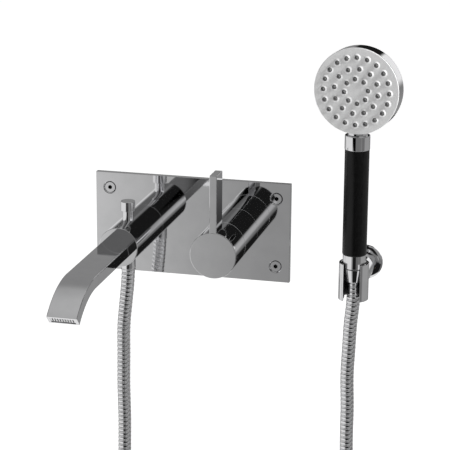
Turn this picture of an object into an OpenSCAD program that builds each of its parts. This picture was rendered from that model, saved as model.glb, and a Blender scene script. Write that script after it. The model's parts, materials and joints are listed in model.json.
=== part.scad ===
// Wall mounted bath faucet: a cover plate with a lever control and a flat spout
// with a pull-up diverter, and a hand shower on its own wall bracket. One hose
// hangs in a loop between the outlet under the spout and the hand shower.
// The origin is the centre of the plate's back face, on the finished wall.
// +X runs to the right along the wall, +Y into the wall and +Z up.

/* [Cover plate] */
// Width of the cover plate
plate_w = 210; // [206:1:240]
// Height of the cover plate
plate_h = 106; // [100:1:130]
// Thickness of the cover plate
plate_t = 6; // [5:0.5:8]
// Distance between the plate's screws along the wall
screw_gap_x = 180; // [176:1:190]
// Distance between the plate's screws in height
screw_gap_z = 73; // [66:1:76]
// Diameter of the plate screws' countersunk heads
screw_head_d = 12; // [11:0.5:13]

/* [Control] */
// Distance of the control's axis from the plate's centre
control_x = 47; // [44:1:52]
// Outside diameter of the sleeve and the cap
control_d = 47.5; // [46.5:0.5:50]
// Length of the fixed sleeve in front of the plate
sleeve_len = 55; // [55:1:58]
// Length of the turning cap
cap_len = 40; // [38:1:46]
// Gap between the sleeve and the cap
cap_gap = 0.5; // [0.3:0.1:0.8]

/* [Lever] */
// Width of the flat lever
lever_w = 7.5; // [6.5:0.5:10]
// Depth of the flat lever, front to back
lever_depth = 23; // [18:1:26]
// Height of the lever's top above the control's axis
lever_top = 82; // [60:1:95]

/* [Spout] */
// Distance of the spout's axis from the plate's centre
spout_x = -52; // [-58:1:-50]
// Outside diameter of the spout's round body
body_d = 40.5; // [40.5:0.5:44]
// Length of the round body in front of the plate
body_len = 93; // [93:1:100]
// Width of the flat spout
bar_w = 30; // [28:1:32]
// Thickness of the flat spout
bar_t = 12; // [11:0.5:14]
// Height of the flat spout's centre above the body's axis
bar_rise = 1; // [0:0.5:2]
// Straight length of the flat spout
bar_straight = 116; // [60:1:140]
// Radius of the bend at the spout's centreline
bend_r = 80; // [50:1:120]
// Angle that the spout turns down through
bend_angle = 43.5; // [30:0.5:70]

/* [Diverter] */
// Distance of the diverter's axis behind the round body's front face
diverter_back = 34; // [34:0.5:36]
// Diameter of the diverter's cap
knob_d = 14.8; // [13:0.1:17]
// Height of the diverter's cap
knob_h = 10; // [8:0.5:14]
// Diameter of the neck under the cap
neck_d = 10.8; // [9:0.1:12]
// Height of the neck above the round body
neck_h = 9.5; // [9:0.5:14]
// Travel of the diverter when it is pulled up
diverter_lift = 8; // [6:0.5:8]

/* [Hose] */
// Outside diameter of the metal hose
hose_d = 14; // [13:0.5:14]

/* [Hand shower] */
// Distance of the hand shower's axis from the plate's centre
shower_x = 184; // [175:1:200]
// Distance of the hand shower's axis from the wall
shower_reach = 70; // [66:1:80]
// Diameter of the spray head
head_d = 85; // [80:1:100]
// Thickness of the spray head
head_t = 22; // [20:1:26]
// Turn of the spray head away from straight ahead
head_turn = 6; // [0:1:10]
// Length of the grip
grip_len = 108; // [90:1:140]
// Diameter of the grip
grip_d = 24.3; // [23:0.1:25]
// Number of nozzles in each ring, from the middle out
nozzle_rings = [8, 12, 20];
// Radius of each ring of nozzles
nozzle_radii = [12, 22, 33];

/* [Wall bracket] */
// Height of the bracket's axis, below the plate's centre when negative
bracket_z = -24.5; // [-26:0.5:-22]
// Diameter of the round wall rose
rose_d = 36; // [36:1:50]
// Diameter of the arm from the wall to the holder
arm_d = 24; // [22:0.5:25]
// Outside diameter of the slotted holder
holder_d = 30; // [30:0.5:32]
// Width of the holder's slot
slot_w = 16.5; // [15:0.5:17]

/* [Hidden] */
$fn = 64;
plate_front = -plate_t;
edge = 0.5; // small chamfer on the machined edges
over = 1; // how far a cutter runs past what it cuts
fit = 0.1; // difference in diameter between two pieces that slide together

sleeve_front = plate_front - sleeve_len;
cap_back = sleeve_front - cap_gap;
cap_front = cap_back - cap_len;
housing_d = 43;
housing_front = sleeve_front + 1;
chamber_y = -12; // floor of the cartridge chamber
cartridge_d = 35.2;
port_spread = 7; // sideways offset of the hot and cold ports
port_low = -6; // height of the hot and cold ports
port_high = 8; // height of the mixed water port

supply_y = 20; // depth of the concealed body's axis
supply_t = 24; // front to back thickness of the concealed body
supply_end = -70; // left end of the concealed body
inlet_gap = 48; // distance between the hot and cold inlets
inlet_low = -46; // height of the inlets' lower faces
frame_y = supply_y + supply_t / 2;
frame_t = 3;

body_front = plate_front - body_len;
body_bore = 36.5;
diverter_y = body_front + diverter_back;
body_top = body_d / 2;
neck_top = body_top + neck_h;
boss_front = -16; // front of the threaded boss that carries the spout
seat_low = -8; // height of the lower diverter seat
valve_h = 3;
seat_high = seat_low + valve_h + diverter_lift;
gland_low = 13;
gland_high = body_bore / 2 - 0.4;
spindle_d = 6; // rod between the diverter's knob and its valve
bar_z = bar_rise;
bend_y = body_front - bar_straight;

shower_y = -shower_reach;
nut_top = -10.2;
nut_low = -23.7;
flange_low = nut_low + 7; // flange of the hose's fitting, held inside the nut
washer_top = flange_low + 3;
grip_low = 3;
grip_high = grip_low + grip_len;
head_z = grip_high + 16.5 + head_d / 2;
head_front = -10; // front of the spray head, from the grip's axis
holder_low = -42.5;
holder_high = -4.5;
holder_bore = 25;
ferrule_low = -33; // lower end of the hose's fitting under the spout

// Centreline of the hose, from the outlet under the spout to the hand shower.
hose_route = [
    [-52, -65, -33], [-53, -65, -50], [-55, -65, -70], [-57, -66, -95],
    [-57, -67, -125], [-57, -68, -160], [-56, -69, -195], [-56, -70, -230],
    [-56, -70, -265], [-57, -70, -300], [-58, -70, -335], [-58, -70, -370],
    [-58, -70, -405], [-57, -70, -440], [-53, -70, -474], [-41, -70, -505],
    [-21, -70, -533], [4, -70, -553], [34, -70, -566], [66, -70, -571],
    [97, -70, -566], [127, -70, -553], [152, -70, -533], [172, -70, -505],
    [184, -70, -474], [188, -70, -440], [188, -70, -405], [187, -70, -370],
    [186, -70, -335], [184, -70, -300], [183, -70, -265], [182, -70, -230],
    [181, -70, -195], [181, -70, -160], [180, -70, -125], [181, -70, -95],
    [182, -70, -70], [184, -70, -46], [184, -70, -23.7]
];
hose_sides = 12;

// Round bar or hole along the Y axis. d2 is the diameter at y1.
module rod_y(d, y0, y1, x = 0, z = 0, d2 = undef)
    translate([x, y0, z])
        rotate([-90, 0, 0])
            cylinder(h = y1 - y0, d1 = d, d2 = is_undef(d2) ? d : d2);

// Round bar or hole along the Z axis. d2 is the diameter at z1.
module rod_z(d, z0, z1, x = 0, y = 0, d2 = undef)
    translate([x, y, z0])
        cylinder(h = z1 - z0, d1 = d, d2 = is_undef(d2) ? d : d2);

// Round bar or hole along the X axis.
module rod_x(d, x0, x1, y = 0, z = 0)
    translate([x0, y, z])
        rotate([0, 90, 0])
            cylinder(h = x1 - x0, d = d);

module ring_y(d_out, d_in, y0, y1, x = 0, z = 0)
    difference() {
        rod_y(d_out, y0, y1, x, z);
        rod_y(d_in, y0 - over, y1 + over, x, z);
    }

module ring_z(d_out, d_in, z0, z1, x = 0, y = 0)
    difference() {
        rod_z(d_out, z0, z1, x, y);
        rod_z(d_in, z0 - over, z1 + over, x, y);
    }

// Round seal about the Y axis: ring_d is the diameter of its centreline.
module seal_y(ring_d, cord_d, y, x = 0, z = 0)
    translate([x, y, z])
        rotate([-90, 0, 0])
            rotate_extrude()
                translate([ring_d / 2, 0])
                    circle(d = cord_d, $fn = 24);

// Solid of revolution about the Y axis, from [radius, depth] points where depth
// grows towards the wall.
module turned_y(points, y = 0, x = 0, z = 0)
    translate([x, y, z])
        rotate([-90, 0, 0])
            rotate_extrude()
                polygon(points);

// Block with all its edges cut back by a small chamfer.
module chamfered_block(low, high, c = edge) {
    size = high - low;
    module outline(a, b)
        polygon([[c, 0], [a - c, 0], [a, c], [a, b - c], [a - c, b], [c, b], [0, b - c], [0, c]]);
    translate(low)
        intersection() {
            linear_extrude(height = size[2])
                outline(size[0], size[1]);
            translate([0, size[1], 0])
                rotate([90, 0, 0])
                    linear_extrude(height = size[1])
                        outline(size[0], size[2]);
            rotate([90, 0, 90])
                linear_extrude(height = size[0])
                    outline(size[1], size[2]);
        }
}

module block(low, high)
    translate(low)
        cube(high - low);

// Puts a copy at each of the plate's four screws.
module at_plate_screws()
    for (sx = [-1, 1])
        for (sz = [-1, 1])
            translate([sx * screw_gap_x / 2, 0, sz * screw_gap_z / 2])
                children();

// ---- Cover plate ----

module wall_plate() {
    groove_t = 1.5;
    color("gainsboro")
        difference() {
            chamfered_block([-plate_w / 2, plate_front, -plate_h / 2], [plate_w / 2, 0, plate_h / 2]);
            rod_y(housing_d + 0.6, plate_front - over, over, control_x);
            rod_y(31, plate_front - over, over, spout_x);
            at_plate_screws() {
                rod_y(6.6, plate_front - over, over);
                rod_y(screw_head_d + 1.6, plate_front - over, plate_front + 1);
                rod_y(screw_head_d + 1.6, plate_front + 0.99, plate_front + 4, d2 = 6.6);
            }
            gasket_outline(groove_t, 0.2, over);
        }
}

// Frame-shaped outline of the gasket. grow widens it on every side.
module gasket_outline(depth, grow = 0, past = 0) {
    out_x = plate_w / 2 - 3;
    out_z = plate_h / 2 - 3;
    band = 4;
    difference() {
        block([-out_x - grow, -depth, -out_z - grow], [out_x + grow, past, out_z + grow]);
        block([-out_x + band + grow, -depth - over, -out_z + band + grow],
            [out_x - band - grow, past + over, out_z - band - grow]);
    }
}

module plate_gasket()
    color("dimgray")
        gasket_outline(1.5);

module plate_screws() {
    shank_d = 6;
    socket = 4.6; // hexagon socket across its corners
    color("silver")
        at_plate_screws()
            difference() {
                union() {
                    rod_y(screw_head_d, plate_front + 1, plate_front + 4, d2 = shank_d);
                    rod_y(shank_d, plate_front + 3.9, frame_y - 6);
                }
                translate([0, plate_front + 3.4, 0])
                    rotate([90, 0, 0])
                        cylinder(h = 3, d = socket, $fn = 6);
            }
}

// ---- Concealed body behind the plate ----

module mounting_frame() {
    half_x = 95;
    half_z = 41;
    color("lightsteelblue")
        difference() {
            union() {
                block([-half_x, frame_y, -half_z], [half_x, frame_y + frame_t, half_z]);
                at_plate_screws()
                    rod_y(9, 4, frame_y + 0.01);
            }
            at_plate_screws()
                rod_y(6 + fit, 3, frame_y + frame_t + over);
            for (sx = [-1, 1])
                for (sz = [-1, 1])
                    rod_y(6.5, frame_y - over, frame_y + frame_t + over, sx * 75, sz * 30);
            for (x = [-25, 5])
                rod_y(5.4, frame_y - over, frame_y + frame_t + over, x, -7);
        }
}

module valve_body() {
    supply_h = 28;
    left = control_x - inlet_gap / 2;
    right = control_x + inlet_gap / 2;
    color("goldenrod")
        difference() {
            union() {
                block([supply_end, supply_y - supply_t / 2, -supply_h / 2],
                    [right + 8, frame_y, supply_h / 2]);
                rod_y(housing_d, housing_front, frame_y, control_x);
                rod_y(30, boss_front, supply_y, spout_x);
                for (x = [left, right])
                    rod_z(24, inlet_low, 0, x, supply_y);
            }
            // cartridge chamber and the wider thread for its nut
            rod_y(cartridge_d + fit, housing_front - over, chamber_y, control_x);
            rod_y(39.9, housing_front - over, housing_front + 9, control_x);
            // groove for the sleeve's seal
            difference() {
                rod_y(housing_d + over, -31.3, -28.7, control_x);
                rod_y(39.7, -32, -28, control_x);
            }
            // hot and cold supplies
            for (s = [-1, 1]) {
                x = control_x + s * inlet_gap / 2;
                rod_z(18.6, inlet_low - over, inlet_low + 14, x, supply_y);
                rod_z(14.2, inlet_low + 13.9, inlet_low + 30, x, supply_y);
                rod_z(9, inlet_low + 29.9, port_low, x, supply_y);
                rod_x(6.5, min(x, control_x + s * port_spread), max(x, control_x + s * port_spread),
                    supply_y, port_low);
                rod_y(6, chamber_y - over, supply_y, control_x + s * port_spread, port_low);
            }
            // mixed water to the spout
            rod_y(8, chamber_y - over, supply_y, control_x, port_high);
            rod_x(10, supply_end - over, control_x, supply_y, port_high);
            rod_y(14, boss_front - over, supply_y + 4, spout_x);
            for (x = [-25, 5])
                rod_y(5 + fit, supply_y - 2, frame_y + over, x, -7);
        }
}

module body_screws() {
    head_y = frame_y + frame_t;
    color("silver")
        for (x = [-25, 5])
            difference() {
                union() {
                    rod_y(5, supply_y - 1, head_y + 0.01, x, -7);
                    rod_y(9, head_y, head_y + 3.5, x, -7);
                }
                translate([x, head_y + 1.5, -7])
                    rotate([-90, 0, 0])
                        cylinder(h = 3, d = 4.6, $fn = 6);
            }
}

module channel_plug()
    color("darkgoldenrod")
        difference() {
            rod_x(9.9, supply_end, supply_end + 7, supply_y, port_high);
            translate([supply_end - over, supply_y, port_high])
                rotate([0, 90, 0])
                    cylinder(h = 4, d = 5.8, $fn = 6);
        }

module check_valves()
    color("white")
        for (s = [-1, 1])
            translate([control_x + s * inlet_gap / 2, supply_y, 0]) {
                ring_z(14, 8, inlet_low + 16, inlet_low + 29);
                rod_z(3, inlet_low + 18, inlet_low + 28);
                for (a = [0, 60, 120])
                    rotate([0, 0, a])
                        block([-5, -0.5, inlet_low + 20], [5, 0.5, inlet_low + 26]);
            }

// ---- Control ----

module control_sleeve()
    color("gainsboro")
        turned_y([[22, 0], [control_d / 2, 0], [control_d / 2, sleeve_len], [22, sleeve_len]],
            sleeve_front, control_x);

module sleeve_oring()
    color("black")
        seal_y(41.9, 2.1, -30, control_x);

// The cartridge's ports, as holes of diameter d_side and d_mixed.
module port_holes(d_side, d_mixed, y0, y1) {
    for (s = [-1, 1])
        rod_y(d_side, y0, y1, control_x + s * port_spread, port_low);
    rod_y(d_mixed, y0, y1, control_x, port_high);
}

module cartridge_seals()
    color("black")
        difference() {
            port_holes(8.4, 10.4, chamber_y - 1, chamber_y);
            port_holes(6, 8, chamber_y - 2, chamber_y + over);
        }

module cartridge_base()
    color("whitesmoke")
        difference() {
            rod_y(cartridge_d, chamber_y - 5, chamber_y - 1, control_x);
            port_holes(6, 8, chamber_y - 6, chamber_y);
        }

module ceramic_disc_fixed()
    color("ivory")
        difference() {
            rod_y(26.6, chamber_y - 8.5, chamber_y - 5, control_x);
            port_holes(6, 8, chamber_y - 9, chamber_y - 4);
        }

module cartridge_shell() {
    step_y = chamber_y - 18;
    top_y = housing_front + 9.1;
    color("whitesmoke")
        difference() {
            rod_y(cartridge_d, top_y, chamber_y - 5, control_x);
            rod_y(27, step_y, chamber_y - 4, control_x);
            rod_y(10 + fit, top_y - over, step_y + over, control_x);
        }
}

module cartridge_nut() {
    notches = 6;
    color("goldenrod")
        difference() {
            ring_y(39.8, 20, housing_front, housing_front + 9, control_x);
            for (i = [0 : notches - 1])
                translate([control_x, 0, 0])
                    rotate([0, i * 360 / notches, 0])
                        block([-2, housing_front - over, 15], [2, housing_front + 3, 25]);
        }
}

module ceramic_disc_moving()
    color("ivory")
        difference() {
            rod_y(25, chamber_y - 12, chamber_y - 8.5, control_x);
            // recess that joins the ports as it turns over them
            rod_y(9, chamber_y - 10, chamber_y - 8, control_x + 4, 3);
            rod_y(9, chamber_y - 10, chamber_y - 8, control_x, 6);
        }

module cartridge_spindle() {
    driver_y = chamber_y - 16;
    flat_y = cap_back - 2;
    tip_y = cap_front + 12;
    color("goldenrod")
        difference() {
            union() {
                rod_y(25, driver_y, chamber_y - 12, control_x);
                rod_y(10, tip_y, driver_y + 0.01, control_x);
            }
            for (s = [-1, 1])
                block([control_x + (s > 0 ? 4 : -6), tip_y - over, -6],
                    [control_x + (s > 0 ? 6 : -4), flat_y, 6]);
            rod_y(3.4, tip_y - over, tip_y + 12, control_x);
        }
}

module handle_hub() {
    hub_front = cap_front + 8;
    web_y = cap_front + 14;
    color("lightgray")
        difference() {
            union() {
                rod_y(20, hub_front, cap_back - 4, control_x);
                rod_y(39.9, web_y - 4, web_y, control_x);
            }
            intersection() {
                rod_y(10.1, hub_front + 4, cap_back, control_x);
                block([control_x - 4.05, hub_front, -6], [control_x + 4.05, cap_back, 6]);
            }
            rod_y(10.2, cap_back - 6, cap_back, control_x);
            rod_y(4.2, hub_front - over, hub_front + 5, control_x);
            // clears the lever's tenon
            block([control_x - 4, web_y - 5, 11.5], [control_x + 4, web_y + over, 21]);
            // hole that the grub screw clamps through
            rod_z(5 + fit, -25, -4, control_x, web_y + 4);
        }
}

module handle_cap() {
    wall = 3.75;
    r = control_d / 2;
    front_t = 4;
    grub_y = cap_front + 18;
    color("gainsboro")
        difference() {
            turned_y([[0, 0], [r - edge, 0], [r, edge], [r, cap_len], [r - wall, cap_len],
                [r - wall, front_t], [0, front_t]], cap_front, control_x);
            // socket for the lever's tenon
            block([control_x - 2.55, cap_front + 5, 10], [control_x + 2.55, cap_front + 17.1, r + over]);
            rod_z(5 + fit, -r - over, -10, control_x, grub_y);
        }
}

module hub_screw() {
    hub_front = cap_front + 8;
    color("silver")
        difference() {
            union() {
                rod_y(8, hub_front - 3, hub_front, control_x);
                rod_y(3.3, hub_front - 0.01, hub_front + 14, control_x);
            }
            rod_y(3.5, hub_front - 4, hub_front - 1.5, control_x);
        }
}

module lever() {
    half = lever_w / 2;
    color("gainsboro")
        difference() {
            union() {
                difference() {
                    chamfered_block([control_x - half, cap_front, 14],
                        [control_x + half, cap_front + lever_depth, lever_top]);
                    rod_y(control_d + 0.04, cap_front - over, cap_front + lever_depth + over, control_x);
                }
                block([control_x - 2.5, cap_front + 5.1, 16], [control_x + 2.5, cap_front + 17, 24.5]);
            }
            rod_z(4 + fit, 15, 36, control_x, cap_front + 11);
        }
}

module lever_screw()
    color("silver")
        union() {
            rod_z(4, 13.5, 34, control_x, cap_front + 11);
            rod_z(7, 12.5, 16, control_x, cap_front + 11);
        }

module handle_grub_screw()
    color("silver")
        difference() {
            rod_z(5, 1 - control_d / 2, -5, control_x, cap_front + 18);
            translate([control_x, cap_front + 18, -control_d / 2])
                cylinder(h = 4, d = 2.9, $fn = 6);
        }

// ---- Spout and diverter ----

// Run of the flat spout with the given width and thickness, from y0 to the end of the bend.
module bar_run(w, t, y0, extra = 0) {
    block([spout_x - w / 2, bend_y, bar_z - t / 2], [spout_x + w / 2, y0, bar_z + t / 2]);
    translate([spout_x, bend_y, bar_z - bend_r])
        rotate([0, -90, 180])
            rotate_extrude(angle = bend_angle + extra, $fn = 180)
                translate([bend_r - t / 2, -w / 2])
                    square([t, w]);
}

// Places its children at the spout's outlet, with +Y pointing back up the spout.
module at_spout_end()
    translate([spout_x, bend_y, bar_z - bend_r])
        rotate([bend_angle, 0, 0])
            translate([0, 0, bend_r])
                children();

module spout_body() {
    r = body_d / 2;
    front_t = 5;
    color("gainsboro")
        difference() {
            turned_y([[0, 0], [r - edge, 0], [r, edge], [r, body_len], [body_bore / 2, body_len],
                [body_bore / 2, front_t], [0, front_t]], body_front, spout_x);
            block([spout_x - 13, body_front - over, bar_z - 4],
                [spout_x + 13, body_front + front_t + over, bar_z + 4]);
            rod_z(neck_d + fit, 0, r + over, spout_x, diverter_y);
            rod_z(15.2, -r - over, 0, spout_x, diverter_y);
        }
}

module flat_spout() {
    tenon = 4.5;
    color("gainsboro")
        difference() {
            union() {
                bar_run(bar_w, bar_t, body_front);
                block([spout_x - 12.95, body_front - over, bar_z - 3.95],
                    [spout_x + 12.95, body_front + tenon, bar_z + 3.95]);
            }
            bar_run(22, 6, body_front + tenon + over, 1);
            // shallow seat for the outlet insert
            at_spout_end()
                block([-12.1, -over, -4.1], [12.1, 5, 4.1]);
        }
}

module spout_insert() {
    slots = 9;
    pitch = 2.5;
    color("gainsboro")
        at_spout_end()
            difference() {
                block([-12, 0.3, -4], [12, 4.8, 4]);
                for (i = [0 : slots - 1])
                    translate([(i - (slots - 1) / 2) * pitch, 0, 0])
                        block([-0.55, -over, -2.6], [0.55, 6, 2.6]);
            }
}

module diverter_housing() {
    d = body_bore - 0.2;
    back_y = diverter_y + 19;
    tail_y = boss_front - 2;
    color("goldenrod")
        difference() {
            union() {
                rod_y(d, body_front + 7, back_y, spout_x);
                rod_y(24, back_y - 0.01, tail_y, spout_x);
                rod_y(28, tail_y - 4, tail_y, spout_x);
            }
            // feed from the wall and way out to the flat spout
            rod_y(14, diverter_y, tail_y + over, spout_x, -2);
            difference() {
                rod_y(26, body_front + 6, diverter_y - 10, spout_x);
                block([spout_x - 14, body_front, -14], [spout_x + 14, diverter_y, -7]);
            }
            block([spout_x - 6.5, body_front + 6, 6.5], [spout_x + 6.5, diverter_y, 12]);
            // bore that takes the cage, the valve and the gland
            rod_z(18, seat_low, 20, spout_x, diverter_y);
            rod_z(10, -16, 0, spout_x, diverter_y);
            rod_z(15, -20, -12, spout_x, diverter_y);
        }
}

module union_nut()
    color("goldenrod")
        difference() {
            translate([spout_x, boss_front - 10, 0])
                rotate([-90, 0, 0])
                    cylinder(h = 18, d = 36, $fn = 6);
            rod_y(30 + fit, boss_front - 6, boss_front + 9, spout_x);
            rod_y(24.3, boss_front - 11, boss_front - 5, spout_x);
        }

module union_washer()
    color("black")
        ring_y(27, 15, boss_front - 2, boss_front, spout_x);

module diverter_cage() {
    seat_t = 3;
    color("darkgoldenrod")
        difference() {
            ring_z(17.9, 10, seat_high, gland_low, spout_x, diverter_y);
            for (a = [0, 90])
                translate([spout_x, diverter_y, 0])
                    rotate([0, 0, a])
                        block([-4.5, -10, seat_high + seat_t], [4.5, 10, gland_low + over]);
        }
}

module diverter_gland()
    color("goldenrod")
        difference() {
            union() {
                rod_z(17.9, gland_low, gland_high - 2.6, spout_x, diverter_y);
                rod_z(8.5, gland_low, body_top + 4, spout_x, diverter_y);
            }
            rod_z(spindle_d + fit, gland_low - over, neck_top + over, spout_x, diverter_y);
        }

module diverter_neck()
    color("gainsboro")
        difference() {
            rod_z(neck_d, gland_high - 2.6, neck_top, spout_x, diverter_y);
            rod_z(8.5 + fit, gland_low, body_top + 4.1, spout_x, diverter_y);
            rod_z(spindle_d + fit, gland_low, neck_top + over, spout_x, diverter_y);
        }

module diverter_spindle()
    color("silver")
        union() {
            rod_z(spindle_d, seat_low + valve_h, neck_top + 5, spout_x, diverter_y);
            rod_z(3, seat_low - 2, seat_low + valve_h + 0.01, spout_x, diverter_y);
            rod_z(6, seat_low - 2, seat_low, spout_x, diverter_y);
        }

module diverter_valve()
    color("black")
        ring_z(14, 3 + fit, seat_low + 0.05, seat_low + valve_h - 0.05, spout_x, diverter_y);

// Coil of round wire about the diverter's spindle.
module diverter_spring() {
    low = seat_low + valve_h;
    high = gland_low;
    wire = 0.8;
    r = 4.2;
    turns = 6;
    steps = 12;
    sides = 6;
    count = turns * steps;
    rise = (high - low - wire) / count;
    points = [for (i = [0 : count])
        let (a = i * 360 / steps, z = low + wire / 2 + i * rise)
        for (k = [0 : sides - 1])
            let (b = k * 360 / sides, q = r + wire / 2 * cos(b))
            [q * cos(a), q * sin(a), z + wire / 2 * sin(b)]];
    color("silver")
        translate([spout_x, diverter_y, 0])
            polyhedron(points = points, faces = tube_faces(count + 1, sides), convexity = 10);
}

module diverter_knob() {
    low = neck_top + 0.3;
    c = 0.6;
    color("gainsboro")
        difference() {
            union() {
                rod_z(knob_d, low, low + knob_h - c, spout_x, diverter_y);
                rod_z(knob_d, low + knob_h - c, low + knob_h, spout_x, diverter_y, d2 = knob_d - 2 * c);
            }
            rod_z(spindle_d, low - over, neck_top + 5, spout_x, diverter_y);
        }
}

module outlet_nipple()
    color("goldenrod")
        difference() {
            union() {
                rod_z(14.9, -21, -12, spout_x, diverter_y);
                rod_z(9.5, -30, -20.9, spout_x, diverter_y);
            }
            rod_z(7, -31, -11, spout_x, diverter_y);
        }

// ---- Hose ----

module hose_ferrule_inlet()
    color("gainsboro")
        difference() {
            rod_z(15, ferrule_low, -21, spout_x, diverter_y);
            rod_z(9.6, ferrule_low + 2, -20, spout_x, diverter_y);
            rod_z(8, ferrule_low - over, -20, spout_x, diverter_y);
        }

function unit(v) = v / norm(v);
// Direction of the route at point i.
function along(route, i) =
    unit(route[min(i + 1, len(route) - 1)] - route[max(i - 1, 0)]);
// Faces of a closed tube of rings, with its two ends filled.
function tube_faces(rings, sides) = concat(
    [[for (k = [0 : sides - 1]) k]],
    [for (i = [0 : rings - 2])
        for (k = [0 : sides - 1])
            let (n = (k + 1) % sides)
            for (f = [[i * sides + k, (i + 1) * sides + k, (i + 1) * sides + n],
                [i * sides + k, (i + 1) * sides + n, i * sides + n]]) f],
    [[for (k = [sides - 1 : -1 : 0]) (rings - 1) * sides + k]]);

module shower_hose() {
    // The route lies near an upright plane, so Y serves as the sweep's side vector.
    // The end rings stay level, flat against the fittings.
    last = len(hose_route) - 1;
    points = [for (i = [0 : last])
        let (t = i == 0 ? [0, 0, -1] : i == last ? [0, 0, 1] : along(hose_route, i),
            u = unit(cross([0, 1, 0], t)), v = cross(t, u))
        for (k = [0 : hose_sides - 1])
            let (a = k * 360 / hose_sides)
            hose_route[i] + hose_d / 2 * (cos(a) * u + sin(a) * v)];
    color("silver")
        polyhedron(points = points, faces = tube_faces(last + 1, hose_sides), convexity = 6);
}

// ---- Hand shower ----

// Moves its children to the hand shower's upright axis.
module at_shower()
    translate([shower_x, shower_y, 0])
        children();

module hose_ferrule_outlet()
    color("gainsboro")
        at_shower()
            difference() {
                union() {
                    rod_z(13.5, nut_low, flange_low + 0.01);
                    rod_z(17.5, flange_low, flange_low + 1.2);
                }
                rod_z(9, nut_low - over, flange_low + 2);
            }

module hose_cone_nut()
    color("gainsboro")
        at_shower()
            difference() {
                rod_z(18, nut_low, nut_top, d2 = 22.8);
                rod_z(18.9 + fit, flange_low - 0.1, nut_top + over);
                rod_z(13.7, nut_low - over, nut_top);
            }

module hose_washer()
    color("black")
        at_shower()
            ring_z(18, 10, flange_low + 1.3, washer_top);

module grip_neck()
    color("gainsboro")
        at_shower()
            difference() {
                union() {
                    rod_z(18.9, washer_top, nut_top + 0.01);
                    rod_z(23, nut_top, grip_low);
                    rod_z(17.9, grip_low - 0.01, grip_low + 14);
                }
                rod_z(9, nut_low, grip_low + 8);
                rod_z(12.1, grip_low + 7, grip_low + 15);
            }

module grip() {
    r = grip_d / 2;
    round = 2.5;
    corner = [for (a = [-90 : 10 : 0]) [r - round + round * cos(a), grip_low + round + round * sin(a)]];
    color([0.08, 0.08, 0.08])
        at_shower()
            rotate_extrude()
                polygon(concat([[9, grip_low]], corner, [[r, grip_high - 0.3], [r - 0.3, grip_high],
                    [9, grip_high]]));
}

module water_tube()
    color("whitesmoke")
        at_shower()
            ring_z(12, 9, grip_low + 8, grip_high + 8);

module head_collar() {
    color("gainsboro")
        at_shower()
            difference() {
                union() {
                    difference() {
                        rod_z(25, grip_high, head_z - head_d / 2 + 6);
                        head_space(head_d / 2 + 0.02);
                    }
                    rod_z(17.9, grip_high - 12, grip_high + 0.01);
                    rod_z(11, grip_high + 10, head_z - head_d / 2 + 7);
                }
                rod_z(12.1, grip_high - 13, grip_high + 8);
                rod_z(7, grip_high, head_z);
            }
}

// Turns its children to face as the spray head does.
module at_head()
    at_shower()
        rotate([0, 0, -head_turn])
            translate([0, 0, head_z])
                children();

// The round space that the spray head fills, in the hand shower's own place.
module head_space(r)
    rotate([0, 0, -head_turn])
        rod_y(2 * r, head_front - 10, head_front + head_t + 20, z = head_z);

module head_shell() {
    r = head_d / 2;
    depth = head_t - 2;
    wall = 2.2;
    round = 4;
    // outside of the shell from the face to the middle of its back
    corner = [for (a = [0 : 10 : 90]) [r - round + round * cos(a), depth - round + round * sin(a)]];
    color("gainsboro")
        at_head()
            difference() {
                turned_y(concat([[r - wall, 0], [r, 0]], corner, [[0, depth], [0, depth - wall],
                    [r - wall, depth - wall]]), head_front + 2);
                rod_z(11 + fit, -r - over, -r + 8);
            }
}

module head_seal()
    color("black")
        at_head()
            seal_y(head_d - 6.6, 1.8, head_front + 3.2);

// Puts a copy at every nozzle of the spray face.
module at_nozzles() {
    phases = [6.5, 22.5, 0];
    for (ring = [0 : len(nozzle_rings) - 1])
        for (i = [0 : nozzle_rings[ring] - 1])
            rotate([0, phases[ring] + i * 360 / nozzle_rings[ring], 0])
                translate([nozzle_radii[ring], 0, 0])
                    children();
}

module spray_face() {
    r = head_d / 2;
    color("gainsboro")
        at_head()
            difference() {
                turned_y([[0, 0], [r - edge, 0], [r, edge], [r, 2], [0, 2]], head_front);
                at_nozzles()
                    rod_y(4.2, head_front - over, head_front + 3, $fn = 20);
            }
}

module nozzle_mat() {
    r = head_d / 2 - 7;
    color("gray")
        at_head()
            union() {
                rod_y(2 * r, head_front + 2, head_front + 4);
                at_nozzles() {
                    rod_y(4, head_front, head_front + 2.01, $fn = 20);
                    rod_y(2.4, head_front - 2, head_front, d2 = 4, $fn = 20);
                }
            }
}

module mat_clamp()
    color("dimgray")
        at_head()
            ring_y(head_d - 14, 20, head_front + 4, head_front + 7);

// ---- Wall bracket ----

module bracket_flange()
    color("goldenrod")
        difference() {
            union() {
                rod_y(30, -3, 0, shower_x, bracket_z);
                rod_y(14, -14, -2.99, shower_x, bracket_z);
            }
            rod_y(6 + fit, -15, over, shower_x, bracket_z);
            rod_y(10.2, -15, -10, shower_x, bracket_z);
        }

module bracket_wall_screw()
    color("silver")
        difference() {
            union() {
                rod_y(10, -13.5, -10, shower_x, bracket_z);
                rod_y(6, -10.01, 38, shower_x, bracket_z);
            }
            translate([shower_x, -11, bracket_z])
                rotate([90, 0, 0])
                    cylinder(h = 4, d = 5.8, $fn = 6);
        }

module bracket_wall_plug()
    color("lightgray")
        difference() {
            rod_y(8, 0, 40, shower_x, bracket_z);
            rod_y(6 + fit, -over, 39, shower_x, bracket_z);
        }

module bracket_rose() {
    r = rose_d / 2;
    t = 5;
    inside = 3.05;
    color("gainsboro")
        turned_y([[arm_d / 2 + 0.05, 0], [r - 1, 0], [r, 1], [r, t], [15.1, t],
            [15.1, t - inside], [arm_d / 2 + 0.05, t - inside]], -t, shower_x, bracket_z);
}

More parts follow.
